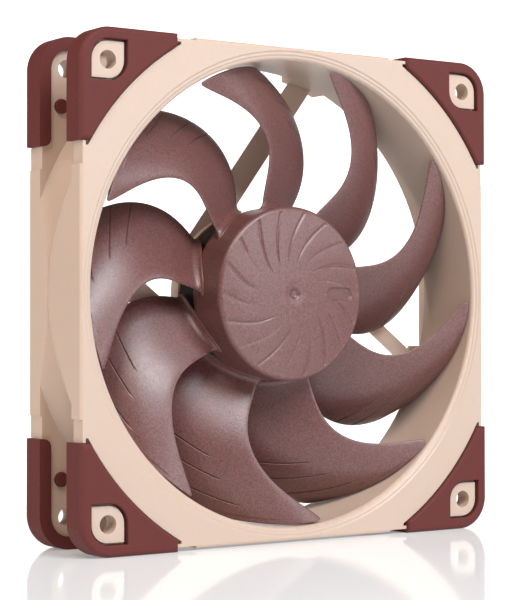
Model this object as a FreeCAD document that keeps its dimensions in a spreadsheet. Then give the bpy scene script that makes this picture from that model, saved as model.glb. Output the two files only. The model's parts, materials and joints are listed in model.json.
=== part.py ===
import FreeCAD, Part
import math
import os
import re
import Sketcher

# A 120 mm case fan, as the separate pieces that it comes apart into.
# X points right, Y runs along the shaft from the intake to the exhaust, Z points up.
# The origin is the middle of the fan: on the shaft, half way through the frame's depth.

Vector = FreeCAD.Vector
Y_AXIS = Vector(0, 1, 0)
ALONG_Y = FreeCAD.Rotation(Vector(1, 0, 0), -90)     # turns a primitive's own Z to +Y

doc = FreeCAD.newDocument("CaseFan")
sheet = doc.addObject("Spreadsheet::Sheet", "Sizes")

SIZES = {
    # the outside of the fan
    "fan_width": 120.0,
    "fan_depth": 25.0,
    "corner_radius": 8.0,
    "hole_spacing": 105.0,
    "hole_radius": 2.15,
    # the frame: two square flanges on a waisted barrel
    "frame_width": 119.0,
    "frame_edge": 0.8,
    "corner_width": 117.9,
    "side_step": 28.7,
    "front_flange_back": -8.2,
    "rear_flange_front": 6.95,
    "bell_front_radius": 64.6,
    "bell_middle_radius": 60.4,
    "bell_waist_radius": 59.3,
    "bell_waist_place": 3.2,
    "bell_rear_radius": 63.3,
    # the duct
    "bore_radius": 56.45,
    "outer_step_radius": 58.75,
    "outer_step_depth": 0.25,
    "inner_step_radius": 57.85,
    "inner_step_depth": 0.5,
    "step_slope": 0.4,
    "lip_radius": 0.9,
    "flare_start": 7.6,
    "flare_radius": 60.3,
    "flare_width": 117.4,
    "root_block_near": 13.3,
    "root_block_far": 23.0,
    # the four vane-shaped struts
    "strut_angle": 52.9,
    "strut_near": 15.85,
    "strut_front": 9.2,
    "strut_far": 21.35,
    "strut_far_place": 11.5,
    "strut_rear_near": 17.6,
    "strut_rear_far": 20.6,
    "strut_back": 12.4,
    "strut_end": 59.0,
    "channel_width": 3.8,
    "channel_depth": 1.9,
    "channel_wall": 1.1,
    # the motor base in the middle of the struts
    "base_radius": 20.35,
    "base_front": 9.1,
    "base_floor": 10.9,
    "base_inner_radius": 19.0,
    "post_radius": 4.9,
    "post_front": -3.4,
    "shell_radius": 4.2,
    "standoff_radius": 1.3,
    "standoff_place": 14.0,
    "label_radius": 17.4,
    "label_recess": 0.3,
    # the corner pads
    "pad_reach": 34.0,
    "seat_notch": 32.9,
    "seat_notch_place": 58.2,
    "pad_arc_radius": 66.5,
    "seat_gap": 0.2,
    "pad_proud": 0.9,
    "pad_face": 1.2,
    "pad_wall": 1.0,
    "pad_lip_width": 3.0,
    "pad_lip_corner": 1.9,
    "front_pad_back": -6.8,
    "rear_pad_front": 6.0,
    "pad_gap": 0.05,
    "pad_edge": 1.15,
    "pad_arc_edge": 0.8,
    "pad_eye_edge": 0.35,
    "boss_radius": 4.2,
    "boss_gap": 0.5,
    "peg_far": 54.0,
    "peg_near": 43.6,
    "peg_stem_radius": 1.15,
    "peg_head_radius": 1.75,
    "peg_head": 0.9,
    # the impeller
    "tip_radius": 56.0,
    "blade_thickness": 1.5,
    "hub_radius": 21.2,
    "hub_front": -12.0,
    "hub_dome": 158.0,
    "hub_back": 1.0,
    "hub_edge": 1.2,
    "hub_wall_gap": 0.05,
    "shaft_pocket": 0.4,
    "hub_socket_front": -8.95,
    "blade_root_radius": 20.4,
    # the rotor's metal parts
    "yoke_radius": 20.0,
    "yoke_wall": 1.15,
    "yoke_front": -8.9,
    "yoke_back": 8.5,
    "magnet_radius": 16.3,
    "magnet_front": -6.4,
    "magnet_back": 5.6,
    "shaft_radius": 1.5,
    "shaft_front": -9.9,
    "shaft_back": 9.55,
    "bushing_radius": 4.1,
    "bushing_flange_radius": 5.6,
    "bushing_lead": 0.35,
    # the bearing
    "sleeve_radius": 3.2,
    "sleeve_bore_radius": 1.53,
    "sleeve_front": -4.5,
    "sleeve_back": 6.8,
    "shell_front": -5.6,
    "shell_back": 10.9,
    "ring_place": 7.45,
    "ring_thickness": 0.5,
    "ring_radius": 2.5,
    "ring_groove_radius": 1.15,
    "thrust_front": 9.6,
    "cap_front": 10.3,
    # the stator and its board
    "stack_front": -2.2,
    "stack_back": 3.8,
    "stator_radius": 15.8,
    "stator_hub_radius": 7.4,
    "pole_width": 4.6,
    "pole_head": 1.8,
    "press_gap": 0.02,
    "groove_gap": 0.05,
    "fence_inset": 0.3,
    "fence_wall": 1.2,
    "coil_gap": 0.05,
    "coil_side_gap": 0.35,
    "pin_radius": 0.3,
    "pin_inset": 0.9,
    "pin_turn": 20.0,
    "cap_head": 0.8,
    "label_thickness": 0.15,
    "pole_head_angle": 74.0,
    "insulator_sheet": 0.8,
    "insulator_wall": 2.0,
    "coil_near": 8.3,
    "coil_far": 13.1,
    "coil_build": 1.9,
    "board_radius": 18.6,
    "board_hole_radius": 5.2,
    "board_front": 9.3,
    "board_back": 10.3,
}


def fill_sheet():
    """Put every driving size in the sheet, with its name as the cell's alias."""
    for row, (name, value) in enumerate(SIZES.items(), start=1):
        sheet.set(f"A{row}", name)
        sheet.set(f"B{row}", str(value))
        sheet.setAlias(f"B{row}", name)
    doc.recompute()


fill_sheet()
ALIAS = re.compile(r"\b(" + "|".join(sorted(SIZES, key=len, reverse=True)) + r")\b")


def cells(text):
    """An expression in bare size names, as one that other objects can hold."""
    return ALIAS.sub(r"Sizes.\1", str(text))


def number(text):
    """The present value of an expression in bare size names."""
    return float(sheet.evalExpression(str(text)))


def bind(thing, **expressions):
    for name, text in expressions.items():
        thing.setExpression(name.replace("_of_", "."), cells(text))


def place(thing, x="0", y="0", z="0"):
    bind(thing, Placement_of_Base_of_x=x, Placement_of_Base_of_y=y, Placement_of_Base_of_z=z)


# ---- primitives, booleans and copies -------------------------------------------------


def rod(name, radius, front, back, x="0", z="0"):
    """A cylinder along Y."""
    thing = doc.addObject("Part::Cylinder", name)
    thing.Placement = FreeCAD.Placement(Vector(), ALONG_Y)
    bind(thing, Radius=radius, Height=f"({back}) - ({front})")
    place(thing, x, front, z)
    return thing


def cone(name, front_radius, back_radius, front, back):
    """A cone along Y."""
    thing = doc.addObject("Part::Cone", name)
    thing.Placement = FreeCAD.Placement(Vector(), ALONG_Y)
    bind(thing, Radius1=front_radius, Radius2=back_radius, Height=f"({back}) - ({front})")
    place(thing, "0", front, "0")
    return thing


def block(name, low, high):
    """A box between two corners, each given as three expressions."""
    thing = doc.addObject("Part::Box", name)
    lengths = [f"({top}) - ({bottom})" for bottom, top in zip(low, high)]
    bind(thing, Length=lengths[0], Width=lengths[1], Height=lengths[2])
    place(thing, *low)
    return thing


def fused(name, parts):
    thing = doc.addObject("Part::MultiFuse", name)
    thing.Shapes = parts
    return thing


def shared(name, parts):
    thing = doc.addObject("Part::MultiCommon", name)
    thing.Shapes = parts
    return thing


def cut(name, base, tool):
    thing = doc.addObject("Part::Cut", name)
    thing.Base = base
    thing.Tool = tool
    return thing


def grouped(name, parts):
    thing = doc.addObject("Part::Compound", name)
    thing.Links = parts
    return thing


def turned(name, source, degrees):
    """A copy of a piece, turned about the shaft. Positive goes from +X towards +Z."""
    thing = grouped(name, [source])
    thing.Placement = FreeCAD.Placement(Vector(), FreeCAD.Rotation(Y_AXIS, -degrees))
    return thing


def four_turned(name, source):
    return [turned(f"{name}_{quarter}", source, 90 * quarter) for quarter in range(4)]


def mirrored(name, source, normal):
    thing = doc.addObject("Part::Mirroring", name)
    thing.Source = source
    thing.Normal = normal
    return thing


def rounded(name, source, radius, chosen):
    """Round the edges of a piece that the test picks."""
    doc.recompute()
    thing = doc.addObject("Part::Fillet", name)
    thing.Base = source
    size = number(radius)
    picked = [index for index, edge in enumerate(source.Shape.Edges, start=1) if chosen(edge)]
    thing.Edges = [(index, size, size) for index in picked]
    return thing


def runs_along_y(edge):
    ends = [vertex.Point for vertex in edge.Vertexes]
    return len(ends) == 2 and abs((ends[1] - ends[0]).normalize().y) > 0.999


def lies_at(place_text):
    """A test for the edges that lie flat at one place along Y."""
    place_y = number(place_text)
    return lambda edge: abs(edge.BoundBox.YMin - place_y) < 0.01 and edge.BoundBox.YLength < 0.01


def circle_at(radius_text, place_text):
    """A test for the circle of one radius about the shaft at one place along Y."""
    flat = lies_at(place_text)
    radius = number(radius_text)
    return lambda edge: (flat(edge) and isinstance(edge.Curve, Part.Circle)
                         and abs(edge.Curve.Radius - radius) < 0.01)


def square_prism(name, width, corner, front, back):
    """A square block about the shaft with rounded corners."""
    half = f"{width} / 2"
    plain = block(f"{name}_plain", [f"-{half}", front, f"-{half}"], [half, back, half])
    return rounded(name, plain, corner, runs_along_y)


# ---- sketches and turned pieces ------------------------------------------------------


def draw_polygon(sketch, corners):
    """A closed outline whose corners are bound to the sheet."""
    values = [(number(across), number(up)) for across, up in corners]
    count = len(corners)
    for index, start in enumerate(values):
        end = values[(index + 1) % count]
        sketch.addGeometry(Part.LineSegment(Vector(*start, 0), Vector(*end, 0)))
    for index in range(count):
        following = (index + 1) % count
        sketch.addConstraint(Sketcher.Constraint("Coincident", index, 2, following, 1))
    for index, (texts, start) in enumerate(zip(corners, values)):
        for kind, text, value in zip(("DistanceX", "DistanceY"), texts, start):
            row = sketch.addConstraint(Sketcher.Constraint(kind, -1, 1, index, 1, value))
            sketch.setExpression(f"Constraints[{row}]", cells(text))


def origin_plane(body, role):
    return next(item for item in body.Origin.OriginFeatures if item.Role == role)


def turned_body(name, corners):
    """A body turned about the shaft from an outline of (radius, place along Y) corners."""
    body = doc.addObject("PartDesign::Body", name)
    sketch = body.newObject("Sketcher::SketchObject", f"{name}_outline")
    sketch.AttachmentSupport = [(origin_plane(body, "XY_Plane"), "")]
    sketch.MapMode = "FlatFace"
    draw_polygon(sketch, corners)
    turning = body.newObject("PartDesign::Revolution", f"{name}_turning")
    turning.Profile = sketch
    turning.ReferenceAxis = (sketch, ["V_Axis"])
    turning.Angle = 360
    return body


def turned_ring(name, inner, outer, front, back):
    return turned_body(name, [(inner, front), (outer, front), (outer, back), (inner, back)])


# ---- the frame -----------------------------------------------------------------------


def eye_shape(name, radius, front, back):
    """A hole's boss: round, with square corners on the sides that face along the duct."""
    centre = "hole_spacing / 2"
    pieces = [rod(f"{name}_round", radius, front, back, centre, centre)]
    for side, (x_low, x_high) in {"left": ("-1", "0"), "right": ("0", "1")}.items():
        z_low, z_high = ("0", "1") if side == "left" else ("-1", "0")
        low = [f"{centre} + {x_low} * ({radius})", front, f"{centre} + {z_low} * ({radius})"]
        high = [f"{centre} + {x_high} * ({radius})", back, f"{centre} + {z_high} * ({radius})"]
        pieces.append(block(f"{name}_{side}", low, high))
    return fused(name, pieces)


def frame_outside():
    """Two square flanges joined by a barrel that is waisted between them."""
    front, back = "-fan_depth / 2", "fan_depth / 2"
    flanges = []
    for name, low, high, face in (("front", front, "front_flange_back", front),
                                  ("rear", "rear_flange_front", back, back)):
        prism = square_prism(f"{name}_flange_prism", "frame_width", "corner_radius", low, high)
        flanges.append(rounded(f"{name}_flange", prism, "frame_edge", lies_at(face)))
    barrel = fused("barrel_turned", [
        cone("bell_front", "bell_front_radius", "bell_middle_radius", "front_flange_back", "0"),
        cone("bell_middle", "bell_middle_radius", "bell_waist_radius", "0", "bell_waist_place"),
        cone("bell_rear", "bell_waist_radius", "bell_rear_radius",
             "bell_waist_place", "rear_flange_front"),
    ])
    half = "frame_width / 2"
    sides = block("barrel_sides", [f"-{half}", front, f"-{half}"], [half, back, half])
    return fused("frame_outside", flanges + [shared("barrel", [barrel, sides])])


def duct():
    """The round bore, stepped at the intake and flared to a square at the exhaust."""
    beyond = "fan_depth / 2 + 1"
    bore = rod("bore", "bore_radius", f"-({beyond})", beyond)
    front = "-fan_depth / 2"
    steps = [rod("step_entry", "outer_step_radius", f"-({beyond})", front)]
    for name, top in (("outer", front), ("inner", f"{front} + outer_step_depth")):
        steps.append(cone(f"{name}_step", f"{name}_step_radius",
                          f"{name}_step_radius - step_slope", top,
                          f"{front} + {name}_step_depth"))
    flare = cone("flare", "bore_radius", "flare_radius", "flare_start", "fan_depth / 2 + 0.01")
    half = "flare_width / 2"
    limits = block("flare_limits", [f"-{half}", "flare_start", f"-{half}"], [half, beyond, half])
    root = block("strut_root", ["0", "flare_start", "-root_block_far"],
                 ["flare_radius", beyond, "-root_block_near"])
    flare = cut("flare_between_roots", shared("flare_square", [flare, limits]),
                fused("strut_roots", four_turned("strut_root", root)))
    return fused("duct", [bore, flare] + steps)


def pad_seats():
    """What the frame gives up at each corner so that a pad sits flush in it."""
    seats = []
    far = "fan_width / 2 + 1"
    for name, face, inside in (("front", "-fan_depth / 2", "-fan_depth / 2 + pad_face + pad_gap"),
                               ("rear", "fan_depth / 2", "fan_depth / 2 - pad_face - pad_gap")):
        outside = f"({face}) * 1.1"
        low, high = (outside, inside) if name == "front" else (inside, outside)
        corner = block(f"{name}_seat_corner", ["seat_notch", low, "seat_notch"], [far, high, far])
        shelf_x = block(f"{name}_seat_shelf_x", ["seat_notch_place", low, "seat_notch - 1"],
                        [far, high, "pad_reach - 0.1"])
        shelf_z = block(f"{name}_seat_shelf_z", ["seat_notch - 1", low, "seat_notch_place"],
                        ["pad_reach - 0.1", high, far])
        ring = rod(f"{name}_seat_ring", "pad_arc_radius - seat_gap", low, high)
        seat = cut(f"{name}_seat", corner, fused(f"{name}_seat_kept", [ring, shelf_x, shelf_z]))
        seats += four_turned(f"{name}_seat", seat)
    return seats


def frame_limits():
    """How wide the frame may be: full in the middle of each side, less at the corners."""
    beyond = "fan_depth / 2 + 1"
    half = "frame_width / 2"
    corners = square_prism("corner_limit", "corner_width", "corner_radius - pad_wall",
                           f"-({beyond})", beyond)
    across = block("limit_across", [f"-{half}", f"-({beyond})", "-side_step"],
                   [half, beyond, "side_step"])
    upright = block("limit_upright", ["-side_step", f"-({beyond})", f"-{half}"],
                    ["side_step", beyond, half])
    return fused("frame_limits", [corners, across, upright])


def strut_section(name, corners):
    """A strut's cross-section, in a sketch whose X is the distance from the shaft."""
    sketch = doc.addObject("Sketcher::SketchObject", name)
    draw_polygon(sketch, corners)
    return sketch


def strut(name, section, quarter, start, end):
    """A straight strut that runs past the shaft to the duct's wall."""
    thing = doc.addObject("Part::Extrusion", name)
    thing.Base = section
    thing.DirMode = "Custom"
    angle = math.radians(number("strut_angle") + 90 * quarter)
    along = Vector(math.cos(angle), 0, math.sin(angle))
    aside = Vector(math.sin(angle), 0, -math.cos(angle))
    thing.Dir = Vector(0, 0, 1)
    thing.Solid = True
    bind(thing, LengthFwd=f"({end}) - ({start})")
    turn = FreeCAD.Rotation(aside, Y_AXIS, along, "ZXY")
    thing.Placement = FreeCAD.Placement(along * number(start), turn)
    return thing


def struts():
    """Three plain vanes, and a fourth wide enough to carry the lead's channel."""
    vane = strut_section("vane_section", [
        ("-strut_near", "strut_front"),
        ("-strut_far", "strut_far_place"),
        ("-strut_rear_far", "strut_back"),
        ("-strut_rear_near", "strut_back"),
    ])
    middle = "(strut_far + strut_near) / 2"
    half = "(channel_width / 2 + channel_wall)"
    wide = strut_section("channel_section", [
        (f"-({middle} - {half})", "fan_depth / 2 - channel_depth - channel_wall"),
        (f"-({middle} + {half})", "fan_depth / 2 - channel_depth - channel_wall"),
        (f"-({middle} + {half})", "fan_depth / 2"),
        (f"-({middle} - {half})", "fan_depth / 2"),
    ])
    pieces = [strut(f"vane_{quarter}", vane, quarter, "0", "flare_radius")
              for quarter in (0, 1, 3)]
    pieces.append(strut("channel_strut", wide, 2, "0", "flare_radius"))
    hollow = rod("base_hollow", "base_inner_radius", "0", "fan_depth / 2 + 1")
    trimmed = cut("struts_outside_base", fused("struts_long", pieces), hollow)
    reach = rod("strut_reach", "strut_end", "0", "fan_depth / 2 + 1")
    half_width = "flare_width / 2"
    square = block("strut_square", [f"-{half_width}", "0", f"-{half_width}"],
                   [half_width, "fan_depth / 2", half_width])
    return shared("struts", [trimmed, reach, square])


def lead_channel():
    """The groove that takes the lead from the board to the frame's lower edge."""
    middle = "(strut_far + strut_near) / 2"
    floor = "fan_depth / 2 - channel_depth"
    groove = strut_section("groove_section", [
        (f"-({middle} - channel_width / 2)", floor),
        (f"-({middle} + channel_width / 2)", floor),
        (f"-({middle} + channel_width / 2)", "fan_depth / 2 + 1"),
        (f"-({middle} - channel_width / 2)", "fan_depth / 2 + 1"),
    ])
    return strut("lead_channel", groove, 2, "3", "fan_width / 2 + 20")


def motor_base():
    """The shallow cup that holds the board, with the post that carries the stator."""
    back = "fan_depth / 2"
    cup = rod("base_cup", "base_radius", "base_front", back)
    hollow = rod("base_cup_hollow", "base_inner_radius", "base_front - 1", "base_floor")
    post = rod("post", "post_radius", "post_front", back)
    standoffs = [turned(f"standoff_{index}", rod(f"standoff_rod_{index}", "standoff_radius",
                                                 "board_back", back, "standoff_place"), angle)
                 for index, angle in enumerate((30, 150, 270))]
    return fused("motor_base", [cut("base_open", cup, hollow), post] + standoffs)


def make_frame():
    """The frame is one moulding: flanges, barrel, struts and motor base."""
    front, back = "-fan_depth / 2", "fan_depth / 2"
    boss = eye_shape("boss", "boss_radius", front, "front_flange_back")
    rear_boss = eye_shape("rear_boss", "boss_radius", "rear_flange_front", back)
    screw_hole = rod("screw_hole", "hole_radius", f"{front} - 1", f"{back} + 1",
                     "hole_spacing / 2", "hole_spacing / 2")
    peg_holes = [rod(f"peg_hole_{side}_{level}", "peg_stem_radius + pad_gap", front, back,
                     f"{x_sign}peg_far", f"{z_sign}peg_near")
                 for side, x_sign in (("right", ""), ("left", "-"))
                 for level, z_sign in (("upper", ""), ("lower", "-"))]
    walls = cut("frame_walls", frame_outside(), duct())
    limited = shared("frame_limited", [walls, frame_limits()])
    trimmed = cut("frame_trimmed", limited, fused("corner_cuts", pad_seats()))
    lipped = rounded("frame_lipped", trimmed, "lip_radius",
                     circle_at("bore_radius", f"{front} + inner_step_depth"))
    bosses = [turned(f"{name}_{quarter}", piece, 90 * quarter)
              for name, piece in (("front_boss", boss), ("rear_boss", rear_boss))
              for quarter in range(4)]
    whole = fused("frame_whole", [lipped, motor_base(), struts()] + bosses)
    holes = fused("frame_holes", [
        rod("shell_bore", "shell_radius", "post_front - 1", "fan_depth / 2 + 1"),
        rod("label_seat", "label_radius + 0.1", f"{back} - label_recess", f"{back} + 1"),
        lead_channel(),
    ] + peg_holes + four_turned("corner_screw_hole", screw_hole))
    return cut("frame", whole, holes)


# ---- the corner pads -----------------------------------------------------------------


def pad_shape(end):
    """One soft corner pad, at the upper right. It wraps the flange and grips it with a peg."""
    outward = "-1" if end == "front" else "1"
    face = f"{outward} * (fan_depth / 2 + pad_proud)"
    inner_face = f"{outward} * (fan_depth / 2 - pad_face)"
    if end == "front":
        flange_side, lip_side = "front_flange_back + pad_gap", "front_pad_back"
    else:
        flange_side, lip_side = "rear_flange_front - pad_gap", "rear_pad_front"

    def span(near_face, near_lip):
        """Two places along Y, the lower one first."""
        return (near_face, near_lip) if end == "front" else (near_lip, near_face)

    outside = f"({face}) + ({outward})"
    beyond_lip = f"({lip_side}) - ({outward})"
    half = "fan_width / 2"
    low, high = span(face, lip_side)
    whole = block(f"{end}_pad_whole", ["pad_reach", low, "pad_reach"], [half, high, half])
    outer = rounded(f"{end}_pad_outer", whole, "corner_radius", is_outer_corner)
    soft = rounded(f"{end}_pad_soft", outer, "pad_edge", outer_face_edge(face))
    wall = f"{half} - pad_wall"
    slot_low, slot_high = span(inner_face, flange_side)
    slot = rounded(f"{end}_pad_slot", block(f"{end}_pad_slot_plain", ["0", slot_low, "0"],
                                            [wall, slot_high, wall]),
                   "corner_radius - pad_wall", is_outer_corner)
    lip = f"{half} - pad_lip_width"
    lip_low, lip_high = span(flange_side, beyond_lip)
    window = rounded(f"{end}_pad_window", block(f"{end}_pad_window_plain", ["0", lip_low, "0"],
                                                [lip, lip_high, lip]),
                     "corner_radius - pad_lip_width", is_outer_corner)
    eye = eye_shape(f"{end}_pad_eye", "boss_radius + boss_gap", *span(outside, inner_face))
    ring = rod(f"{end}_pad_ring", "pad_arc_radius", *span(outside, flange_side))
    shell = cut(f"{end}_pad_shell", soft, fused(f"{end}_pad_hollow", [slot, window, ring]))
    shell = rounded(f"{end}_pad_arc", shell, "pad_arc_edge", circle_at("pad_arc_radius", face))
    shell = cut(f"{end}_pad_pierced", shell, eye)
    shell = rounded(f"{end}_pad_rimmed", shell, "pad_eye_edge", eye_edge(face))
    shell = rounded(f"{end}_pad_lipped", shell, "pad_lip_corner", is_lip_corner)
    head_end = f"{flange_side} - ({outward}) * peg_head"
    stem = rod(f"{end}_peg_stem", "peg_stem_radius",
               *span(f"{inner_face} + ({outward}) * 0.5", f"{flange_side} - ({outward}) * 0.5"),
               "peg_far", "peg_near")
    head = rod(f"{end}_peg_head_plain", "peg_head_radius",
               *span(f"{flange_side} - ({outward}) * pad_gap", head_end), "peg_far", "peg_near")
    head = rounded(f"{end}_peg_head", head, "peg_head / 2", lies_at(head_end))
    return fused(f"{end}_pad_top_right", [shell, stem, head])


def is_outer_corner(edge):
    """True for the one edge along Y that is furthest from the shaft."""
    if not runs_along_y(edge):
        return False
    point = edge.Vertexes[0].Point
    return min(point.x, point.z) > number("hole_spacing") * 0.4


def is_lip_corner(edge):
    """True for the edges along Y at the two free ends of the lip behind the flange."""
    if not runs_along_y(edge):
        return False
    point = edge.Vertexes[0].Point
    near, far = sorted((point.x, point.z))
    return (abs(near - number("pad_reach")) < 0.01
            and abs(far - number("fan_width / 2 - pad_lip_width")) < 0.01)


def outer_face_edge(face):
    """A test for the edges that bound the pad's outer face on the fan's outside."""
    flat = lies_at(face)
    rim = number("fan_width") / 2
    return lambda edge: flat(edge) and max(edge.BoundBox.XMax, edge.BoundBox.ZMax) > rim - 0.01


def eye_edge(face):
    """A test for the edges around the screw's window in the pad's outer face."""
    flat = lies_at(face)
    reach = number("boss_radius + boss_gap") + 0.01
    middle = number("hole_spacing / 2")
    return lambda edge: flat(edge) and all(abs(value - middle) < reach for value in (
        edge.BoundBox.XMin, edge.BoundBox.XMax, edge.BoundBox.ZMin, edge.BoundBox.ZMax))


def make_pads():
    pads = []
    for end in ("front", "rear"):
        top_right = pad_shape(end)
        top_left = mirrored(f"{end}_pad_top_left", top_right, Vector(1, 0, 0))
        low_right = mirrored(f"{end}_pad_bottom_right", top_right, Vector(0, 0, 1))
        low_left = mirrored(f"{end}_pad_bottom_left", top_left, Vector(0, 0, 1))
        pads += [top_right, top_left, low_right, low_left]
    return pads


# ---- the impeller --------------------------------------------------------------------

BLADES = 9
FIRST_TIP_ANGLE = -2.5
SECTION_STEPS = 10
BLADE_RADII = (21.5, 24, 28, 33, 38, 44, 50, 56)

# the sections past the hub and past the tip: the radius whose outline is taken, the distance
# of the plane that it is laid on, and its place in the row of sections
INNER_END = (19.0, 17.0, 18.0)
OUTER_END = (57.0, 58.5, 60.0)
ROOT_SWELL = 0.4
ROOT_SWELL_REACH = 1.5

# radius, then the leading edge (angle behind the tip, place along Y), the trailing edge
# (the same two) and the height of the camber
STATIONS = [
    (21.0, -20.5, -3.0, -55.5, 6.0, 0.3),
    (32.0, -24.0, -4.9, -56.3, 6.0, 0.1),
    (40.0, -20.1, -7.1, -51.3, 6.2, 0.9),
    (48.0, -9.4, -9.4, -42.6, 6.6, 2.4),
    (56.0, 1.0, -11.8, -30.2, 7.3, 4.2),
]


def along_span(column, radius):
    """The smooth curve through one column of the stations, held constant past its ends."""
    radius = min(max(radius, INNER_END[0]), OUTER_END[0])
    total = 0.0
    for here in STATIONS:
        weight = 1.0
        for other in STATIONS:
            if other is not here:
                weight *= (radius - other[0]) / (here[0] - other[0])
        total += weight * here[column]
    return total


def blade_section(radius, flat_at=None):
    """A closed ring of points around the blade at a radius, or on a flat plane at its ends."""
    lead, lead_y, trail, trail_y, camber = [along_span(i, radius) for i in range(1, 6)]
    start = Vector(radius * math.radians(lead), lead_y, 0)
    end = Vector(radius * math.radians(trail), trail_y, 0)
    chord = end - start
    normal = Vector(-chord.y, chord.x, 0).normalize()
    past_hub = max(radius - number("hub_radius"), 0)
    flare = 1 + ROOT_SWELL * math.exp(-past_hub / ROOT_SWELL_REACH)
    thickness = number("blade_thickness") * flare
    middle = math.radians((lead + trail) / 2)
    points = []
    for index in range(2 * SECTION_STEPS):
        turn = math.pi * index / SECTION_STEPS
        along = (1 - math.cos(turn)) / 2
        side = 1 if index < SECTION_STEPS else -1
        swell = abs(math.sin(turn))
        fullness = (0.5 + 0.5 * swell) * (1 - (1 - swell) ** 3)
        rise = 4 * camber * along * (1 - along) + thickness / 2 * (side * fullness - 1)
        spot = start + chord * along + normal * rise
        angle = spot.x / radius
        reach = flat_at / math.cos(angle - middle) if flat_at else radius
        points.append(Vector(reach * math.cos(angle), spot.y, reach * math.sin(angle)))
    return points


def skinned(sections, places):
    """A solid whose side passes smoothly through closed rings of points, with flat ends."""
    rings = []
    for points in sections:
        ring = Part.BSplineCurve()
        ring.interpolate(points, PeriodicFlag=True, Parameters=list(range(len(points) + 1)))
        rings.append(ring)
    spans = []
    for poles in zip(*[ring.getPoles() for ring in rings]):
        span = Part.BSplineCurve()
        span.interpolate(list(poles), Parameters=places)
        spans.append(span)
    side = Part.BSplineSurface()
    side.buildFromPolesMultsKnots([span.getPoles() for span in spans],
                                  rings[0].getMultiplicities(), spans[0].getMultiplicities(),
                                  rings[0].getKnots(), spans[0].getKnots(), True, False, 3, 3)
    ends = [Part.Face(Part.Wire(ring.toShape())) for ring in (rings[0], rings[-1])]
    shell = Part.makeShell([side.toShape()] + ends)
    shell.sewShape()
    solid = Part.makeSolid(shell)
    if solid.Volume < 0:
        solid.reverse()
    return solid


def one_blade():
    """A blade skinned past both of its ends, then cut to length between two cylinders."""
    sections = [blade_section(INNER_END[0], INNER_END[1])]
    sections += [blade_section(radius) for radius in BLADE_RADII]
    sections.append(blade_section(OUTER_END[0], OUTER_END[1]))
    blade = skinned(sections, [INNER_END[2], *BLADE_RADII, OUTER_END[2]])
    deep = number("fan_depth")
    tip = Part.makeCylinder(number("tip_radius"), deep, Vector(0, -deep / 2, 0), Y_AXIS)
    root = Part.makeCylinder(number("blade_root_radius"), deep, Vector(0, -deep / 2, 0), Y_AXIS)
    return blade.common(tip).cut(root)


def hub_shell():
    """The domed hub cap, hollow behind for the steel yoke and the shaft's bushing."""
    front = number("hub_front")
    back = number("hub_back")
    radius = number("hub_radius")
    dome = number("hub_dome")
    start = Vector(0, front, 0)
    hub = Part.makeCylinder(radius, back - front, start, Y_AXIS)
    hub = hub.common(Part.makeSphere(dome, Vector(0, front + dome, 0)))
    rim = [edge for edge in hub.Edges if isinstance(edge.Curve, Part.Circle)
           and abs(edge.Curve.Radius - radius) < 0.01 and edge.Curve.Center.y < front + 5]
    hub = hub.makeFillet(number("hub_edge"), rim)
    socket_front = number("hub_socket_front")
    yoke = Part.makeCylinder(number("yoke_radius + hub_wall_gap"), back - socket_front,
                             Vector(0, socket_front, 0), Y_AXIS)
    boss = number("bushing_radius + hub_wall_gap")
    pocket_front = number("shaft_front - shaft_pocket")
    pocket = Part.makeCylinder(boss, socket_front + 1 - pocket_front,
                               Vector(0, pocket_front, 0), Y_AXIS)
    return hub.cut(yoke).cut(pocket)


def make_impeller():
    """Hub and nine blades are one moulding."""
    blade = one_blade()
    blades = []
    for index in range(BLADES):
        copy = blade.copy()
        copy.rotate(Vector(), Y_AXIS, -(FIRST_TIP_ANGLE + index * 360 / BLADES))
        blades.append(copy)
    thing = doc.addObject("Part::Feature", "impeller")
    thing.Shape = hub_shell().fuse(blades).removeSplitter()
    return thing


# ---- the rotor's metal parts ---------------------------------------------------------


def make_rotor_parts():
    wall = "yoke_wall"
    yoke = turned_body("rotor_yoke", [
        ("bushing_radius + press_gap", "yoke_front"),
        ("yoke_radius", "yoke_front"),
        ("yoke_radius", "yoke_back"),
        (f"yoke_radius - {wall}", "yoke_back"),
        (f"yoke_radius - {wall}", f"yoke_front + {wall}"),
        ("bushing_radius + press_gap", f"yoke_front + {wall}"),
    ])
    magnet = turned_ring("ring_magnet", "magnet_radius", f"yoke_radius - {wall} - 0.03",
                         "magnet_front", "magnet_back")
    bushing = turned_body("shaft_bushing", [
        ("shaft_radius", "shaft_front - bushing_lead"),
        ("bushing_radius", "shaft_front - bushing_lead"),
        ("bushing_radius", f"yoke_front + {wall} + press_gap"),
        ("bushing_flange_radius", f"yoke_front + {wall} + press_gap"),
        ("bushing_flange_radius", f"yoke_front + {wall} + 1"),
        ("shaft_radius", f"yoke_front + {wall} + 1"),
    ])
    shaft = turned_body("shaft", [
        ("0", "shaft_front"),
        ("shaft_radius", "shaft_front"),
        ("shaft_radius", "ring_place - groove_gap"),
        ("ring_groove_radius", "ring_place - groove_gap"),
        ("ring_groove_radius", "ring_place + ring_thickness + groove_gap"),
        ("shaft_radius", "ring_place + ring_thickness + groove_gap"),
        ("shaft_radius", "shaft_back - 0.5"),
        ("shaft_radius * 0.6", "shaft_back - 0.1"),
        ("0", "shaft_back"),
    ])
    disc = rod("ring_disc", "ring_radius", "ring_place", "ring_place + ring_thickness")
    groove = rod("ring_hole", "ring_groove_radius + 0.03", "ring_place - 1", "ring_place + 1")
    mouth = block("ring_mouth", ["0", "ring_place - 1", "-ring_groove_radius * 0.8"],
                  ["ring_radius + 1", "ring_place + 1", "ring_groove_radius * 0.8"])
    clip = cut("retaining_ring", disc, fused("ring_opening", [groove, mouth]))
    return [yoke, magnet, bushing, shaft, clip]


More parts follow.
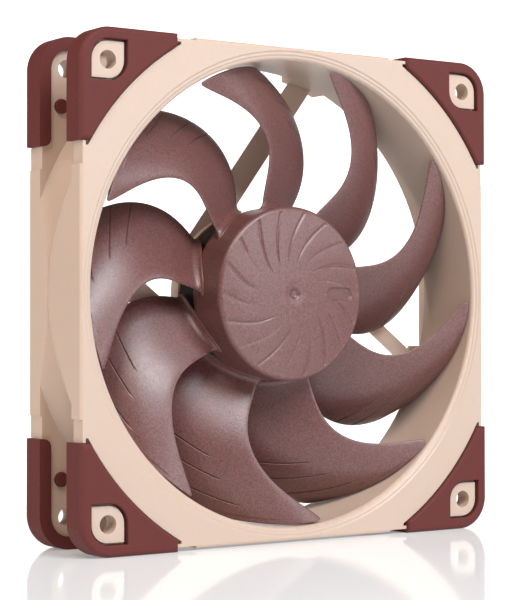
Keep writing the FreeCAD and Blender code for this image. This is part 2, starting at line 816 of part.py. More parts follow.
def make_bearing():
    shell = turned_body("bearing_shell", [
        ("sleeve_radius + 0.01", "shell_front"),
        ("shell_radius", "shell_front"),
        ("shell_radius", "shell_back"),
        ("sleeve_radius + 0.01", "shell_back"),
    ])
    sleeve = turned_ring("sleeve_bearing", "sleeve_bore_radius", "sleeve_radius",
                         "sleeve_front", "sleeve_back")
    seal = turned_ring("oil_seal_ring", "shaft_radius + 0.15", "sleeve_radius",
                       "shell_front + 0.2", "sleeve_front - 0.1")
    magnet = turned_ring("bearing_magnet", "shaft_radius + 0.5", "sleeve_radius",
                         "ring_place + ring_thickness + 0.35", "thrust_front - 0.05")
    thrust = turned_body("thrust_pad", [
        ("0", "thrust_front"),
        ("sleeve_radius", "thrust_front"),
        ("sleeve_radius", "cap_front"),
        ("0", "cap_front"),
    ])
    cap = turned_body("bearing_cap", [
        ("0", "cap_front"),
        ("sleeve_radius", "cap_front"),
        ("sleeve_radius", "shell_back"),
        ("shell_radius", "shell_back"),
        ("shell_radius", "shell_back + cap_head"),
        ("0", "shell_back + cap_head"),
    ])
    return [shell, sleeve, seal, magnet, thrust, cap]


# ---- the stator, its windings and the board ------------------------------------------


def sector(name, radius, angle, front, back):
    """A slice of a cylinder along Y, centred on +X."""
    thing = doc.addObject("Part::Cylinder", name)
    bind(thing, Radius=radius, Height=f"({back}) - ({front})", Angle=angle)
    turn = FreeCAD.Rotation(Y_AXIS, -number(angle) / 2).multiply(ALONG_Y)
    thing.Placement = FreeCAD.Placement(Vector(), turn)
    place(thing, "0", front, "0")
    return thing


def pole(name, front, back, width, inner_head):
    """A pole along +X: a neck with a curved head that faces the magnet."""
    neck = block(f"{name}_neck", ["post_radius + 1", front, f"-({width}) / 2"],
                 [f"({inner_head}) + 0.5", back, f"({width}) / 2"])
    head = cut(f"{name}_head", sector(f"{name}_slice", "stator_radius", "pole_head_angle",
                                      front, back),
               rod(f"{name}_inside", inner_head, f"({front}) - 1", f"({back}) + 1"))
    return fused(name, [neck, head])


def make_stator():
    inner_head = "stator_radius - pole_head"
    core_pole = pole("core_pole", "stack_front", "stack_back", "pole_width", inner_head)
    hub = rod("core_hub", "stator_hub_radius", "stack_front", "stack_back")
    hole = rod("core_hole", "post_radius + press_gap", "stack_front - 1", "stack_back + 1")
    core = cut("stator_core", fused("core_solid", [hub] + four_turned("core_pole", core_pole)),
               hole)
    pieces = [core]
    for name, near, far in (("front", "stack_front", "stack_front - insulator_sheet"),
                            ("rear", "stack_back", "stack_back + insulator_sheet")):
        wall = f"({far}) - insulator_wall" if name == "front" else f"({far}) + insulator_wall"
        low, high = (far, near) if name == "front" else (near, far)
        wall_low, wall_high = (wall, near) if name == "front" else (near, wall)
        arm = pole(f"{name}_arm", low, high, "pole_width + 0.6", inner_head)
        fence = cut(f"{name}_fence", sector(f"{name}_fence_slice", "stator_radius - fence_inset",
                                            "pole_head_angle * 0.8", wall_low, wall_high),
                    rod(f"{name}_fence_inside", "stator_radius - fence_inset - fence_wall",
                        f"({wall_low}) - 1", f"({wall_high}) + 1"))
        collar = rod(f"{name}_collar", "stator_hub_radius", wall_low, wall_high)
        hollow = rod(f"{name}_collar_hole", "post_radius + press_gap", f"({wall_low}) - 1",
                     f"({wall_high}) + 1")
        quarter = four_turned(f"{name}_quarter", fused(f"{name}_quarter", [arm, fence]))
        pieces.append(cut(f"stator_insulator_{name}",
                          fused(f"{name}_insulator_solid", [collar] + quarter), hollow))
    return pieces


def make_coils():
    """Four windings, each a band around its pole."""
    half = "(pole_width / 2 + coil_side_gap)"
    front = "stack_front - insulator_sheet - coil_gap"
    back = "stack_back + insulator_sheet + coil_gap"
    coils = []
    for index in range(4):
        name = f"coil_{index + 1}"
        outer = block(f"{name}_outer", ["coil_near", f"{front} - coil_build * 0.8",
                                        f"-{half} - coil_build"],
                      ["coil_far", f"{back} + coil_build * 0.8", f"{half} + coil_build"])
        soft = rounded(f"{name}_soft", outer, "coil_build * 0.7", is_long_in_x)
        inner = block(f"{name}_inner", ["coil_near - 1", front, f"-{half}"],
                      ["coil_far + 1", back, half])
        coils.append(turned(name, cut(f"{name}_band", soft, inner), 90 * index))
    return coils


def is_long_in_x(edge):
    ends = [vertex.Point for vertex in edge.Vertexes]
    return len(ends) == 2 and abs((ends[1] - ends[0]).normalize().x) > 0.999


# each small part on the board: its angle about the shaft, its reach from it, its length
# along that reach, its width and its height
BOARD_PARTS = {
    "driver_chip": [(225, 13.2, 3.9, 4.9, 1.45)],
    "hall_sensor": [(45, 16.6, 1.5, 3.0, 2.9)],
    "chip_capacitors": [(255, 15.2, 1.3, 2.0, 0.9), (186, 15.0, 1.3, 2.0, 0.9),
                        (300, 12.8, 2.5, 3.2, 1.5)],
    "chip_resistors": [(angle, 15.4, 0.8, 1.6, 0.5) for angle in (82, 94, 126, 138, 165)],
}


def board_part(name, angle, reach, length, width, height):
    """A component on the board's front face, as a box at an angle and a reach."""
    body = block(f"{name}_box", [f"{reach} - {length} / 2", f"board_front - {height}",
                                 f"-{width} / 2"],
                 [f"{reach} + {length} / 2", "board_front", f"{width} / 2"])
    return turned(name, body, angle)


def make_board():
    """The board, the small parts on it, and the pins that join the windings to it."""
    pieces = [turned_ring("circuit_board", "board_hole_radius", "board_radius",
                          "board_front", "board_back")]
    for name, places in BOARD_PARTS.items():
        if len(places) == 1:
            pieces.append(board_part(name, *places[0]))
        else:
            parts = [board_part(f"{name}_{index + 1}", *spot) for index, spot in enumerate(places)]
            pieces.append(grouped(name, parts))
    pins = []
    for index in range(4):
        pin = rod(f"post_pin_{index}", "pin_radius",
                  "stack_back + insulator_sheet + insulator_wall", "board_front",
                  "stator_radius - pin_inset")
        pins.append(turned(f"coil_pin_{index}", pin, 90 * index + number("pin_turn")))
    return pieces + [grouped("coil_pins", pins)]


def make_label():
    """A blank film in the motor base's shallow recess."""
    front = "fan_depth / 2 - label_recess"
    back = f"{front} + label_thickness"
    return turned_body("rear_label", [
        ("0", front),
        ("label_radius", front),
        ("label_radius", back),
        ("0", back),
    ])


# ---- build, test and write -----------------------------------------------------------


def find_faults(pieces):
    faults = []
    for item in doc.Objects:
        if "Invalid" in item.State or "Error" in item.State:
            faults.append(f"{item.Label}: {item.State}")
    for piece in pieces:
        shape = piece.Shape
        if shape.isNull() or not shape.isValid() or not shape.Solids:
            faults.append(f"{piece.Label}: null, invalid or without a solid")
    return faults


def main():
    pieces = [make_frame()] + make_pads() + [make_impeller()] + make_rotor_parts()
    pieces += make_bearing() + make_stator() + make_coils() + make_board() + [make_label()]
    doc.recompute()
    faults = find_faults(pieces)
    if faults:
        raise SystemExit("not written:\n" + "\n".join(faults))
    os.makedirs("parts", exist_ok=True)
    for piece in pieces:
        box = piece.Shape.BoundBox
        print(f"{piece.Label:26s} solids {len(piece.Shape.Solids)} volume {piece.Shape.Volume:9.1f}"
              f"  x {box.XMin:7.2f} {box.XMax:7.2f}  y {box.YMin:7.2f} {box.YMax:7.2f}"
              f"  z {box.ZMin:7.2f} {box.ZMax:7.2f}")
        piece.Shape.exportStep(f"parts/{piece.Label}.step")


main()
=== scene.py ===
import json
import math

import bpy
from mathutils import Euler, Matrix, Vector

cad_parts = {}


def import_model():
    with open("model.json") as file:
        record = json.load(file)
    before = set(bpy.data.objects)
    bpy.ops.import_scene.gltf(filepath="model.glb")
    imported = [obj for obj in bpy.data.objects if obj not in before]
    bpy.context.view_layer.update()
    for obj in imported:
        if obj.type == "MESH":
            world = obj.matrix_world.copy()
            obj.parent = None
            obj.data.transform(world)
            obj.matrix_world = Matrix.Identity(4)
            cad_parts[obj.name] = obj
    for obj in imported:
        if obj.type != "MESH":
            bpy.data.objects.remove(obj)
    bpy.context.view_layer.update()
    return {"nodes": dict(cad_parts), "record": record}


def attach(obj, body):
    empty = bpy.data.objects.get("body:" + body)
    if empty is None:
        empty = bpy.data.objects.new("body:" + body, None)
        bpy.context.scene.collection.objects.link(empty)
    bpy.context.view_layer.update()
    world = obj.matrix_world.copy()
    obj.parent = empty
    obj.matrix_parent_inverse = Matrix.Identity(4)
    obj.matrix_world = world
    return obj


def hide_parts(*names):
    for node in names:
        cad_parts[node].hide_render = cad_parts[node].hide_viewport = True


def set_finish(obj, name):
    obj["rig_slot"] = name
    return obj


# A case fan standing on its lower edge. X points right, Y from the intake to the exhaust,
# Z up, and the origin is the middle of the fan. All lengths are in metres.

MM = 0.001

# ---- the impeller's shape, in millimetres and degrees --------------------------------

BLADES = 9
FIRST_TIP_ANGLE = -2.5
TIP_RADIUS = 56.0
HUB_RADIUS = 21.2
HUB_FRONT = -12.0
HUB_BACK = 1.0
HUB_DOME = 158.0
HUB_EDGE = 1.2
HUB_WAIST = 0.12
HUB_WALL = 1.12
HUB_INSIDE_FRONT = -8.8
HUB_BACK_CHAMFER = 0.25
HUB_MOUTH_CHAMFER = (0.12, 0.15)
BLADE_THICKNESS = 1.5
ROOT_FILLET = 1.7
ROOT_SINK = (0.3, 0.02)
ROOT_SHARES = (0.06, 0.14, 0.26, 0.42, 0.64, 1.0)
TIP_ROUNDING = 0.25
TIP_CORNER = 1.1

# radius, then the leading edge (angle behind the tip, place along Y), the trailing edge
# (the same two) and the height of the camber
STATIONS = [
    (21.0, -20.5, -3.0, -55.5, 6.0, 0.3),
    (32.0, -24.0, -4.9, -56.3, 6.0, 0.1),
    (40.0, -20.1, -7.1, -51.3, 6.2, 0.9),
    (48.0, -9.4, -9.4, -42.6, 6.6, 2.4),
    (56.0, 1.0, -11.8, -30.2, 7.3, 4.2),
]

# the stations' curve is held constant outside these radii
STATION_LIMITS = (19.0, 57.0)

# fine channels over the back half of a blade, and a crease near its tip
CHANNEL_RADII = (43.2, 47.6, 52.5)
CHANNEL_DRIFT = -3.5
CHANNEL_HALF_WIDTH = 0.22
CHANNEL_DEPTH = 0.3
CHANNEL_START = (0.47, 0.53)
CREASE_RADIUS = 54.8
CREASE_DEPTH = 0.14
CREASE_HALF_WIDTH = 0.2
CREASE_START = (0.12, 0.3)
CREASE_END = (0.85, 1.0)

# how the rows of faces lie along a blade: radii and steps between them
PLAIN_ROWS = (23.2, 0.9, 20)
OUTER_ROWS = (41.6, 0.6)
CHANNEL_ROW_STEP = 0.11
CREASE_ROW_STEP = 0.1
TIP_ROW_STEP = 0.2
ROW_CLEARANCE = 0.3
SLANT_START = (38.0, 41.5)
SLANT_END = (53.2, 54.4)

# the curved lines on the hub's face: angles in degrees, from the rim inwards
SWIRLS = 18
SWIRL_START = 19.5
SWIRL_BEND = 24.0
SWIRL_DEPTH = 0.26
SWIRL_WIDTH = (0.2, 0.4)
SWIRL_BULGE = 0.07
SWIRL_INNER = 8.0
SHORT_SWIRLS = {6: 16.0, 7: 12.0, 8: 14.0, 13: 13.0}
FAINT_SWIRLS = (1, 10, 12, 15, 17)
FAINT_STRENGTH = 0.3
SWIRL_OUTER = (19.9, 20.25)
BULGE_RISE = (9, 15)
BULGE_FALL = (15, 20)

# the dimple in the middle of the hub, each as a depth and the radii between which it fades
DIMPLE = (0.6, 0.6, 1.6)
DIMPLE_SURROUND = (0.16, 1.2, 3.4)

# the oblong recess on the hub
RECESS_CENTRE = 13.9
RECESS_HALF_LENGTH = 2.4
RECESS_RADIUS = 1.5
RECESS_DEPTH = 0.45
RECESS_EDGE = 0.08
RECESS_CLEARANCE = (0.1, 1.2)


def blend(value, low, high):
    """0 below low, 1 above high, smooth between them."""
    share = min(max((value - low) / (high - low), 0.0), 1.0)
    return share * share * (3 - 2 * share)


def along_span(column, radius):
    """The smooth curve through one column of the stations, held constant past its ends."""
    radius = min(max(radius, STATION_LIMITS[0]), STATION_LIMITS[1])
    total = 0.0
    for here in STATIONS:
        weight = 1.0
        for other in STATIONS:
            if other is not here:
                weight *= (radius - other[0]) / (here[0] - other[0])
        total += weight * here[column]
    return total


def chord_at(radius):
    """The unrolled blade section at a radius: its leading point, chord, normal and camber."""
    lead, lead_y, trail, trail_y, camber = [along_span(i, radius) for i in range(1, 6)]
    start = Vector((radius * math.radians(lead), lead_y))
    chord = Vector((radius * math.radians(trail), trail_y)) - start
    normal = Vector((-chord.y, chord.x)).normalized()
    return start, chord, normal, camber


def carving(radius, along):
    """How deep the fine channels and the crease near the tip cut the blade's front side."""
    depth = 0.0
    drift = CHANNEL_DRIFT * (along - 0.5)
    fade = blend(along, *CHANNEL_START)
    for centre in CHANNEL_RADII:
        away = abs(radius - centre - drift) / CHANNEL_HALF_WIDTH
        depth += CHANNEL_DEPTH * fade * max(0.0, 1 - away * away)
    step = blend(radius, CREASE_RADIUS - CREASE_HALF_WIDTH, CREASE_RADIUS + CREASE_HALF_WIDTH)
    depth += CREASE_DEPTH * step * blend(along, *CREASE_START) * (1 - blend(along, *CREASE_END))
    return depth


def blade_point(radius, turn, grow, tip_angle):
    """A point on a blade's skin. turn runs from 0 at the leading edge over the front side
    to pi at the trailing edge, and on to two pi behind it. grow thickens it."""
    start, chord, normal, camber = chord_at(radius)
    corner = max(radius - (TIP_RADIUS - TIP_CORNER), 0.0)
    trim = (TIP_CORNER - math.sqrt(max(TIP_CORNER ** 2 - corner ** 2, 0.0))) / chord.length
    along = trim + (1 - 2 * trim) * (1 - math.cos(turn)) / 2
    swell = abs(math.sin(turn))
    fullness = (0.5 + 0.5 * swell) * (1 - (1 - swell) ** 3)
    side = 1 if turn < math.pi else -1
    rise = 4 * camber * along * (1 - along) + BLADE_THICKNESS / 2 * (side * fullness - 1)
    outward = normal * (side * fullness) - chord.normalized() * math.cos(turn) * (1 - fullness)
    spot = start + chord * along + normal * rise + outward * grow
    if side > 0:
        spot -= normal * carving(radius, along)
    angle = math.radians(tip_angle) + spot.x / radius
    return Vector((radius * math.cos(angle), spot.y, radius * math.sin(angle))) * MM


def span_rows():
    """The radii that a blade's rows of faces follow: close together where detail is."""
    rows = [HUB_RADIUS + ROOT_FILLET * share for share in ROOT_SHARES]
    first, gap, count = PLAIN_ROWS
    rows += [first + gap * step for step in range(count)]
    fine = []
    for centre in CHANNEL_RADII:
        fine += [centre + CHANNEL_ROW_STEP * step for step in range(-4, 5)]
    fine += [CREASE_RADIUS + CREASE_ROW_STEP * step for step in range(-3, 4)]
    rows += fine + [TIP_RADIUS - TIP_ROUNDING - TIP_ROW_STEP * step for step in range(3)]
    radius, gap = OUTER_ROWS
    while radius < TIP_RADIUS - TIP_CORNER:
        if min(abs(radius - other) for other in fine) > ROW_CLEARANCE:
            rows.append(radius)
        radius += gap
    return sorted(rows)


def row_radius(row, along):
    """Rows slant with the channels over the back half of the blade."""
    slant = blend(row, *SLANT_START) * (1 - blend(row, *SLANT_END))
    return row + CHANNEL_DRIFT * max(along - 0.5, 0.0) * slant


def blade_skin(tip_angle, turns=112):
    """The points and faces of one blade, with a fillet at the hub and a rounded tip."""
    points = []
    rings = []
    rows = [(HUB_RADIUS - sink, 0.0) for sink in ROOT_SINK] + [(row, 0.0) for row in span_rows()]
    for step in range(1, 5):
        lean = step / 4 * math.pi / 2
        rows.append((TIP_RADIUS - TIP_ROUNDING * (1 - math.sin(lean)), TIP_ROUNDING * (1 - math.cos(lean))))
    for row, shrink in rows:
        ring = []
        share = min(max((row - HUB_RADIUS) / ROOT_FILLET, 0.0), 1.0)
        grow = ROOT_FILLET * (1 - math.sqrt(1 - (1 - share) ** 2)) - shrink
        for step in range(turns):
            turn = 2 * math.pi * step / turns
            radius = row_radius(row, (1 - math.cos(turn)) / 2)
            ring.append(len(points))
            points.append(blade_point(radius, turn, grow, tip_angle))
        rings.append(ring)
    faces = []
    for inner, outer in zip(rings, rings[1:]):
        for step in range(turns):
            following = (step + 1) % turns
            faces.append((inner[step], inner[following], outer[following], outer[step]))
    tip = rings[-1]
    half = turns // 2
    for step in range(half):
        behind = [tip[(turns - step - 1) % turns], tip[(turns - step) % turns]]
        faces.append((tip[step], tip[step + 1], *behind))
    return points, [tuple(dict.fromkeys(face)) for face in faces]


def swirl(radius, angle):
    """The shallow curved lines on the hub's face and the soft swell between them, as a depth."""
    bend = SWIRL_BEND * (max(20.0 - radius, 0.0) / 12.2) ** 1.15
    place = (math.degrees(angle) - SWIRL_START - bend) * SWIRLS / 360
    nearest = round(place)
    index = nearest % SWIRLS
    away = math.radians((place - nearest) * 360 / SWIRLS) * radius
    inner = SHORT_SWIRLS.get(index, SWIRL_INNER)
    reach = blend(radius, inner - 1, inner + 3) * (1 - blend(radius, *SWIRL_OUTER))
    strength = FAINT_STRENGTH if index in FAINT_SWIRLS else 1.0
    width = SWIRL_WIDTH[0] + (SWIRL_WIDTH[1] - SWIRL_WIDTH[0]) * blend(radius, SWIRL_INNER, 20)
    line = SWIRL_DEPTH * strength * reach * math.exp(-(away / width) ** 2)
    share = 1 - 2 * abs(place - nearest)
    fade = blend(radius, *BULGE_RISE) * (1 - blend(radius, *BULGE_FALL))
    swell = SWIRL_BULGE * (1 - share * share) * fade
    return line - swell


def hub_dome(radius):
    """The shallow dome's place along Y."""
    return HUB_FRONT + HUB_DOME - math.sqrt(HUB_DOME ** 2 - radius ** 2)


def hub_height(radius, angle):
    """The front face's place along Y: a shallow dome with a dimple, fine lines and a recess."""
    dimple = 0.0
    for depth, low, high in (DIMPLE, DIMPLE_SURROUND):
        dimple += depth * (1 - blend(radius, low, high))
    across = radius * math.sin(angle)
    out = radius * math.cos(angle) - RECESS_CENTRE
    slot = math.hypot(max(abs(out) - RECESS_HALF_LENGTH, 0.0), across) - RECESS_RADIUS
    recess = RECESS_DEPTH * (1 - blend(slot, -RECESS_EDGE, RECESS_EDGE))
    lines = swirl(radius, angle) * blend(slot, *RECESS_CLEARANCE)
    return hub_dome(radius) + dimple + lines + recess


def hub_profile():
    """The hub's outline outside its front face: a rounded edge, a waisted wall, the inside."""
    centre = HUB_RADIUS - HUB_EDGE
    side_start = HUB_FRONT + HUB_DOME - math.sqrt((HUB_DOME - HUB_EDGE) ** 2 - centre ** 2)
    first_lean = math.asin(centre / (HUB_DOME - HUB_EDGE))
    profile = []
    for step in range(9):
        lean = first_lean + step / 8 * (math.pi / 2 - first_lean)
        profile.append((centre + HUB_EDGE * math.sin(lean), side_start - HUB_EDGE * math.cos(lean)))
    for step in range(1, 11):
        share = step / 10
        waist = HUB_WAIST * math.sin(math.pi * share)
        reached = side_start + (HUB_BACK - HUB_BACK_CHAMFER - side_start) * share
        profile.append((HUB_RADIUS - waist, reached))
    inside = HUB_RADIUS - HUB_WALL
    wide, deep = HUB_MOUTH_CHAMFER
    profile += [(HUB_RADIUS - HUB_BACK_CHAMFER, HUB_BACK), (inside + wide, HUB_BACK),
                (inside, HUB_BACK - deep), (inside, HUB_INSIDE_FRONT)]
    return profile


def hub_skin(turns=800):
    """The hub cap, as rings of points about the shaft from the dimple to its back edge."""
    radii = [0.3, 0.55, 0.7, 0.85, 1.0, 1.15, 1.4, 1.7]
    radii += [1.7 + 0.2 * step for step in range(1, 93)]
    rings = [(radius, None) for radius in radii] + hub_profile()
    points = [Vector((0, hub_height(0.0, 0.0), 0)) * MM]
    loops = []
    for radius, place in rings:
        loop = []
        for step in range(turns):
            angle = 2 * math.pi * step / turns
            along = hub_height(radius, angle) if place is None else place
            loop.append(len(points))
            points.append(Vector((radius * math.cos(angle), along, radius * math.sin(angle))) * MM)
        loops.append(loop)
    faces = [(0, loops[0][step], loops[0][(step + 1) % turns]) for step in range(turns)]
    for inner, outer in zip(loops, loops[1:]):
        for step in range(turns):
            following = (step + 1) % turns
            faces.append((inner[step], outer[step], outer[following], inner[following]))
    return points, faces


def mesh_object(name, points, faces):
    """A smooth-shaded object from points and faces."""
    mesh = bpy.data.meshes.new(name)
    mesh.from_pydata(points, [], faces)
    mesh.validate()
    mesh.update()
    thing = bpy.data.objects.new(name, mesh)
    bpy.context.scene.collection.objects.link(thing)
    for face in mesh.polygons:
        face.use_smooth = True
    return thing


def make_impeller():
    """The blades and the hub, which ride on the rotor in place of the plain impeller."""
    points, faces = blade_skin(FIRST_TIP_ANGLE)
    blades_points = []
    blades_faces = []
    for index in range(BLADES):
        turn = Matrix.Rotation(-math.radians(index * 360 / BLADES), 3, "Y")
        shift = len(blades_points)
        blades_points += [turn @ point for point in points]
        blades_faces += [tuple(corner + shift for corner in face) for face in faces]
    blades = mesh_object("impeller_blades", blades_points, blades_faces)
    hub = mesh_object("impeller_hub", *hub_skin())
    for piece in (blades, hub):
        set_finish(piece, "impeller_plastic")
        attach(piece, "rotor")
    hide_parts("impeller")
    return blades, hub


# ---- materials -----------------------------------------------------------------------


class Nodes:
    """A short way to build a material's nodes."""

    def __init__(self, name):
        self.material = bpy.data.materials.new(name)
        self.material.use_nodes = True
        self.tree = self.material.node_tree
        self.shader = self.tree.nodes["Principled BSDF"]
        self.place = self.add("ShaderNodeTexCoord").outputs["Object"]

    def add(self, kind, **values):
        node = self.tree.nodes.new(kind)
        for name, value in values.items():
            setattr(node, name, value)
        return node

    def link(self, start, end):
        self.tree.links.new(start, end)

    def noise(self, scale, detail=3.0, roughness=0.55):
        node = self.add("ShaderNodeTexNoise")
        node.inputs["Scale"].default_value = scale
        node.inputs["Detail"].default_value = detail
        node.inputs["Roughness"].default_value = roughness
        self.link(self.place, node.inputs["Vector"])
        return node.outputs["Fac"]

    def ramp(self, factor, stops):
        node = self.add("ShaderNodeValToRGB")
        ramp = node.color_ramp
        while len(ramp.elements) < len(stops):
            ramp.elements.new(0.5)
        for element, (place, colour) in zip(ramp.elements, stops):
            element.position = place
            element.color = (*colour, 1.0)
        self.link(factor, node.inputs["Fac"])
        return node.outputs["Color"]

    def spread(self, factor, low, high):
        node = self.add("ShaderNodeMapRange")
        node.inputs["From Min"].default_value = 0.3
        node.inputs["From Max"].default_value = 0.7
        node.inputs["To Min"].default_value = low
        node.inputs["To Max"].default_value = high
        self.link(factor, node.inputs["Value"])
        return node.outputs["Result"]

    def bump(self, height, strength, distance):
        node = self.add("ShaderNodeBump")
        node.inputs["Strength"].default_value = strength
        node.inputs["Distance"].default_value = distance
        self.link(height, node.inputs["Height"])
        self.link(node.outputs["Normal"], self.shader.inputs["Normal"])

    def set(self, **values):
        for name, value in values.items():
            self.shader.inputs[name.replace("_", " ")].default_value = value


def tones(colour, spread):
    """A darker and a lighter tone about a colour."""
    return [tuple(part * (1 - spread) for part in colour), tuple(part * (1 + spread) for part in colour)]


def grained(name, colour, spread, roughness, grain, strength, metallic=0.0, distance=0.00003):
    """A plain surface with fine colour variation, uneven gloss and a grain."""
    nodes = Nodes(name)
    low, high = tones(colour, spread)
    colour_out = nodes.ramp(nodes.noise(grain), [(0.3, low), (0.7, high)])
    nodes.link(colour_out, nodes.shader.inputs["Base Color"])
    rough = nodes.spread(nodes.noise(grain * 0.4), roughness * 0.9, min(roughness * 1.1, 1.0))
    nodes.link(rough, nodes.shader.inputs["Roughness"])
    nodes.bump(nodes.noise(grain * 1.5, 4.0), strength, distance)
    nodes.set(Metallic=metallic)
    return nodes


def frame_plastic():
    nodes = grained("frame_plastic", (0.58, 0.452, 0.372), 0.015, 0.36, 2600, 0.25)
    nodes.set(Specular_IOR_Level=0.35, Subsurface_Weight=0.3, Subsurface_Scale=0.0015,
              Subsurface_Radius=(1.0, 0.45, 0.25))
    return nodes.material


def impeller_plastic():
    nodes = grained("impeller_plastic", (0.146, 0.058, 0.054), 0.4, 0.36, 2300, 0.9,
                    distance=0.00004)
    nodes.set(Specular_IOR_Level=0.78)
    return nodes.material


def pad_silicone():
    nodes = grained("pad_silicone", (0.118, 0.026, 0.024), 0.05, 0.62, 3000, 0.3)
    nodes.set(Specular_IOR_Level=0.25)
    return nodes.material


def yoke_steel():
    return grained("yoke_steel", (0.028, 0.024, 0.026), 0.15, 0.35, 2000, 0.15, metallic=0.6).material


def bonded_magnet():
    return grained("bonded_magnet", (0.045, 0.042, 0.04), 0.2, 0.7, 4000, 0.5).material


def brass():
    return grained("brass", (0.72, 0.53, 0.25), 0.06, 0.25, 900, 0.1, metallic=1.0).material


def polished_steel():
    return grained("polished_steel", (0.72, 0.72, 0.74), 0.03, 0.12, 1500, 0.05, metallic=1.0).material


def nylon():
    return grained("nylon", (0.82, 0.8, 0.74), 0.03, 0.5, 1500, 0.2).material


def sintered_bronze():
    return grained("sintered_bronze", (0.45, 0.29, 0.15), 0.25, 0.55, 5000, 0.8, metallic=0.9).material


def enamelled_copper():
    """Windings: fine turns laid side by side across each pole."""
    nodes = Nodes("enamelled_copper")
    wave = nodes.add("ShaderNodeTexWave", wave_type="RINGS", rings_direction="Y")
    wave.inputs["Scale"].default_value = 900
    nodes.link(nodes.place, wave.inputs["Vector"])
    colour = nodes.ramp(wave.outputs["Fac"], [(0.1, (0.25, 0.075, 0.02)), (0.8, (0.68, 0.28, 0.1))])
    nodes.link(colour, nodes.shader.inputs["Base Color"])
    nodes.bump(wave.outputs["Fac"], 0.8, 0.0001)
    nodes.set(Metallic=0.9, Roughness=0.28)
    return nodes.material


def core_steel():
    """Stacked laminations, seen as fine lines across the shaft's direction."""
    nodes = Nodes("core_steel")
    wave = nodes.add("ShaderNodeTexWave", wave_type="BANDS", bands_direction="Y")
    wave.inputs["Scale"].default_value = 320
    nodes.link(nodes.place, wave.inputs["Vector"])
    colour = nodes.ramp(wave.outputs["Fac"], [(0.05, (0.12, 0.12, 0.13)), (0.3, (0.4, 0.4, 0.42))])
    nodes.link(colour, nodes.shader.inputs["Base Color"])
    nodes.bump(wave.outputs["Fac"], 0.6, 0.00008)
    nodes.set(Metallic=0.9, Roughness=0.35)
    return nodes.material


def insulator_plastic():
    return grained("insulator_plastic", (0.8, 0.78, 0.7), 0.03, 0.45, 1500, 0.2).material


def tinned_metal():
    return grained("tinned_metal", (0.68, 0.68, 0.67), 0.05, 0.25, 2500, 0.2, metallic=1.0).material


def board_laminate():
    return grained("board_laminate", (0.03, 0.16, 0.07), 0.2, 0.3, 700, 0.2).material


def chip_resin():
    return grained("chip_resin", (0.03, 0.03, 0.032), 0.2, 0.55, 4000, 0.4).material


def capacitor_ceramic():
    return grained("capacitor_ceramic", (0.42, 0.27, 0.16), 0.1, 0.4, 3000, 0.2).material


def label_film():
    return grained("label_film", (0.2, 0.12, 0.1), 0.06, 0.3, 1800, 0.1).material


MAKERS = (frame_plastic, impeller_plastic, pad_silicone, yoke_steel, bonded_magnet, brass, polished_steel,
          nylon, sintered_bronze, enamelled_copper, core_steel, insulator_plastic, tinned_metal,
          board_laminate, chip_resin, capacitor_ceramic, label_film)


def dress(frame, pieces):
    """Give each CAD node and each new piece the material of its slot."""
    materials = {maker.__name__: maker() for maker in MAKERS}
    slots = {part["node"]: part["material_slot"] for part in frame["record"]["subparts"]}
    for node, thing in frame["nodes"].items():
        thing.data.materials.clear()
        thing.data.materials.append(materials[slots[node]])
    for piece in pieces:
        piece.data.materials.clear()
        piece.data.materials.append(materials[piece["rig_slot"]])


# ---- the studio ----------------------------------------------------------------------

FLOOR = -0.060
CAMERA_PLACE = (-0.26005, -0.37352, -0.00736)
CAMERA_ANGLES = (90.747, 0.070, -34.4785)
CAMERA_LENS = 110.416
SENSOR_HEIGHT = 36.0
FLOOR_HALF_WIDTH = 6.0
BACKDROP_HALF_SIZE = (1.3, 1.5)
BACKDROP_DISTANCE = 4.0
WORLD_COLOUR = (1.0, 0.72, 0.56, 1)
WORLD_STRENGTH = 0.13
COOL = (0.95, 1.0, 1.05)

# each light's name, place, size, power in watts and colour
LIGHTS = (
    ("key", (0.15, -1.2, 1.08), (0.8, 0.7), 22, COOL),
    ("front_fill", (0.66, -1.38, 0.27), (0.4, 0.4), 3.6, COOL),
    ("right_fill", (1.06, -0.83, 0.42), (0.3, 0.3), 2.3, COOL),
    ("left_fill", (-1.35, 0.28, 0.4), (0.6, 1.2), 11.0, (1.0, 0.94, 0.89)),
    ("high_fill", (-0.75, -0.75, 1.2), (0.5, 0.5), 10.0, (1.0, 0.82, 0.68)),
)


def make_stage():
    """A glossy white floor under the fan."""
    wide = FLOOR_HALF_WIDTH
    floor = mesh_object("floor", [(-wide, -wide, FLOOR), (wide, -wide, FLOOR), (wide, wide, FLOOR),
                                  (-wide, wide, FLOOR)], [(0, 1, 2, 3)])
    nodes = Nodes("white_floor")
    nodes.set(Base_Color=(0.74, 0.78, 0.8, 1), Roughness=0.08, Specular_IOR_Level=0.15,
              Emission_Color=(0.94, 0.97, 1, 1), Emission_Strength=0.22)
    floor.data.materials.append(nodes.material)


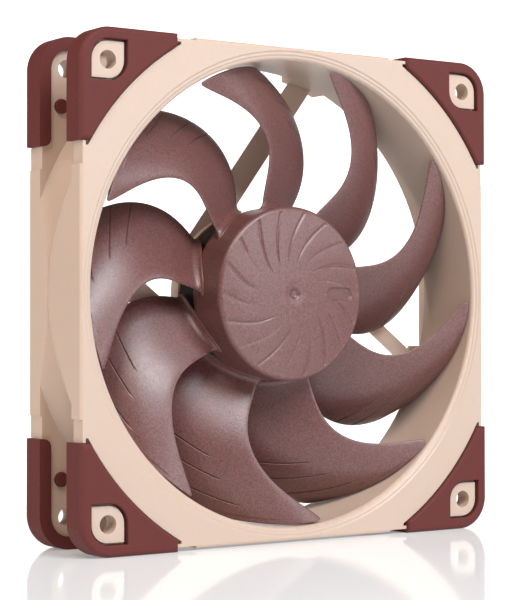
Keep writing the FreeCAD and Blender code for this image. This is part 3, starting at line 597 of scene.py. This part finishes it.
def area_light(name, place, size, power, colour):
    """A soft rectangular light that faces the middle of the fan."""
    light = bpy.data.lights.new(name, "AREA")
    light.shape = "RECTANGLE"
    light.size, light.size_y = size
    light.energy = power
    light.color = colour
    thing = bpy.data.objects.new(name, light)
    thing.location = place
    thing.rotation_euler = (-Vector(place)).to_track_quat("-Z", "Y").to_euler()
    bpy.context.scene.collection.objects.link(thing)


def light_stage():
    """Five soft boxes and a dim warm surround."""
    world = bpy.data.worlds.new("studio")
    bpy.context.scene.world = world
    world.use_nodes = True
    background = world.node_tree.nodes["Background"]
    background.inputs["Color"].default_value = WORLD_COLOUR
    background.inputs["Strength"].default_value = WORLD_STRENGTH
    for light in LIGHTS:
        area_light(*light)


def make_backdrop():
    """A white wall of light far behind the fan, square to the camera's view."""
    half_width, half_height = BACKDROP_HALF_SIZE
    wall = mesh_object("backdrop", [(-half_width, 0, -half_height), (half_width, 0, -half_height),
                                    (half_width, 0, half_height), (-half_width, 0, half_height)],
                       [(0, 1, 2, 3)])
    azimuth = math.radians(CAMERA_ANGLES[2])
    wall.location = Vector(CAMERA_PLACE)
    wall.location += BACKDROP_DISTANCE * Vector((-math.sin(azimuth), math.cos(azimuth), 0))
    wall.rotation_euler = (0, 0, azimuth)
    nodes = Nodes("white_wall")
    nodes.set(Base_Color=(1, 1, 1, 1), Emission_Color=(1, 1, 1, 1), Emission_Strength=1.0)
    wall.data.materials.append(nodes.material)


def aim_camera():
    """The camera stands to the left of the fan, level with it, and looks slightly up."""
    camera = bpy.data.cameras.new("camera")
    camera.sensor_fit = "VERTICAL"
    camera.sensor_height = SENSOR_HEIGHT
    camera.lens = CAMERA_LENS
    camera.clip_start = 0.01
    thing = bpy.data.objects.new("camera", camera)
    thing.rotation_euler = Euler([math.radians(angle) for angle in CAMERA_ANGLES])
    thing.location = CAMERA_PLACE
    bpy.context.scene.collection.objects.link(thing)
    bpy.context.scene.camera = thing


def main():
    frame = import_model()
    pieces = list(make_impeller())
    dress(frame, pieces)
    make_stage()
    make_backdrop()
    light_stage()
    aim_camera()
    bpy.context.scene.view_settings.view_transform = "Standard"


main()
